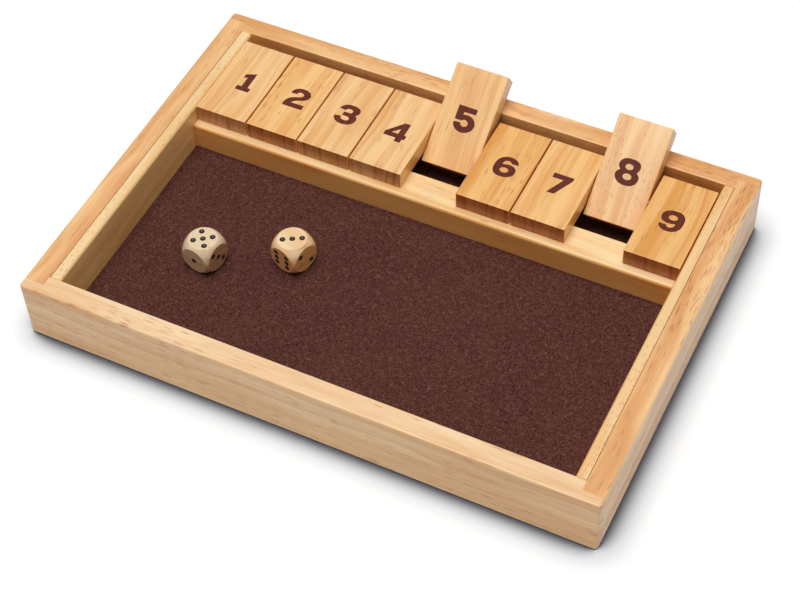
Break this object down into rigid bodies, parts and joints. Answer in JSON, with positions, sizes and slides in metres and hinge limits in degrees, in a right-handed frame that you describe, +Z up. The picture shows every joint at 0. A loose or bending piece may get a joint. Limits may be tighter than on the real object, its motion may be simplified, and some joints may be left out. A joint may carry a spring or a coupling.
{
  "type": "shut the box game",
  "caption": "Open wooden tray game: a felt-lined play area with loose dice and a row of numbered flap tiles that turn on a steel rod and lean back over the rear rail.",
  "frame": {"origin": "centre of the tray's underside, on the table", "axes": "+X along the row of tiles from tile 1 to tile 9, +Y from the player to the back rail, +Z up"},
  "size_m": [0.28, 0.1997, 0.0494],
  "materials": {
    "rail_wood": "clear satin varnish",
    "strip_wood": "clear satin varnish",
    "tile_wood": "clear satin varnish",
    "panel_wood": "bare plywood",
    "brown_felt": "short brown felt",
    "bright_steel": "drawn steel rod",
    "die_wood": "polished, dark drilled pips"
  },
  "bodies": {
    "tray": {"front_rail": "rail_wood", "back_rail": "rail_wood", "left_rail": "rail_wood", "right_rail": "rail_wood", "base_panel": "panel_wood", "felt_lining": "brown_felt", "left_strip": "strip_wood", "right_strip": "strip_wood", "tile_ledge": "strip_wood", "pivot_rod": "bright_steel"},
    "tile_1_body": {"tile_1": "tile_wood"},
    "tile_2_body": {"tile_2": "tile_wood"},
    "tile_3_body": {"tile_3": "tile_wood"},
    "tile_4_body": {"tile_4": "tile_wood"},
    "tile_5_body": {"tile_5": "tile_wood"},
    "tile_6_body": {"tile_6": "tile_wood"},
    "tile_7_body": {"tile_7": "tile_wood"},
    "tile_8_body": {"tile_8": "tile_wood"},
    "tile_9_body": {"tile_9": "tile_wood"},
    "die_1_body": {"die_1": "die_wood"},
    "die_2_body": {"die_2": "die_wood"}
  },
  "joints": [
    {"name": "tile_1_flip", "type": "hinge", "parent": "tray", "child": "tile_1_body", "pos_m": [-0.11067, 0.06836, 0.02644], "axis": [-1, 0, 0], "range_deg": [0, 145.5]},
    {"name": "tile_2_flip", "type": "hinge", "parent": "tray", "child": "tile_2_body", "pos_m": [-0.083, 0.06836, 0.02644], "axis": [-1, 0, 0], "range_deg": [0, 145.5]},
    {"name": "tile_3_flip", "type": "hinge", "parent": "tray", "child": "tile_3_body", "pos_m": [-0.05533, 0.06836, 0.02644], "axis": [-1, 0, 0], "range_deg": [0, 145.5]},
    {"name": "tile_4_flip", "type": "hinge", "parent": "tray", "child": "tile_4_body", "pos_m": [-0.02767, 0.06836, 0.02644], "axis": [-1, 0, 0], "range_deg": [0, 145.5]},
    {"name": "tile_5_flip", "type": "hinge", "parent": "tray", "child": "tile_5_body", "pos_m": [0, 0.06836, 0.02644], "axis": [1, 0, 0], "range_deg": [0, 145.5]},
    {"name": "tile_6_flip", "type": "hinge", "parent": "tray", "child": "tile_6_body", "pos_m": [0.02767, 0.06836, 0.02644], "axis": [-1, 0, 0], "range_deg": [0, 145.5]},
    {"name": "tile_7_flip", "type": "hinge", "parent": "tray", "child": "tile_7_body", "pos_m": [0.05533, 0.06836, 0.02644], "axis": [-1, 0, 0], "range_deg": [0, 145.5]},
    {"name": "tile_8_flip", "type": "hinge", "parent": "tray", "child": "tile_8_body", "pos_m": [0.083, 0.06836, 0.02644], "axis": [1, 0, 0], "range_deg": [0, 145.5]},
    {"name": "tile_9_flip", "type": "hinge", "parent": "tray", "child": "tile_9_body", "pos_m": [0.11067, 0.06836, 0.02644], "axis": [-1, 0, 0], "range_deg": [0, 145.5]},
    {"name": "die_1_lift", "type": "slide", "parent": "tray", "child": "die_1_body", "axis": [0, 0, 1], "range_m": [0, 0.06]},
    {"name": "die_2_lift", "type": "slide", "parent": "tray", "child": "die_2_body", "axis": [0, 0, 1], "range_m": [0, 0.06]}
  ]
}
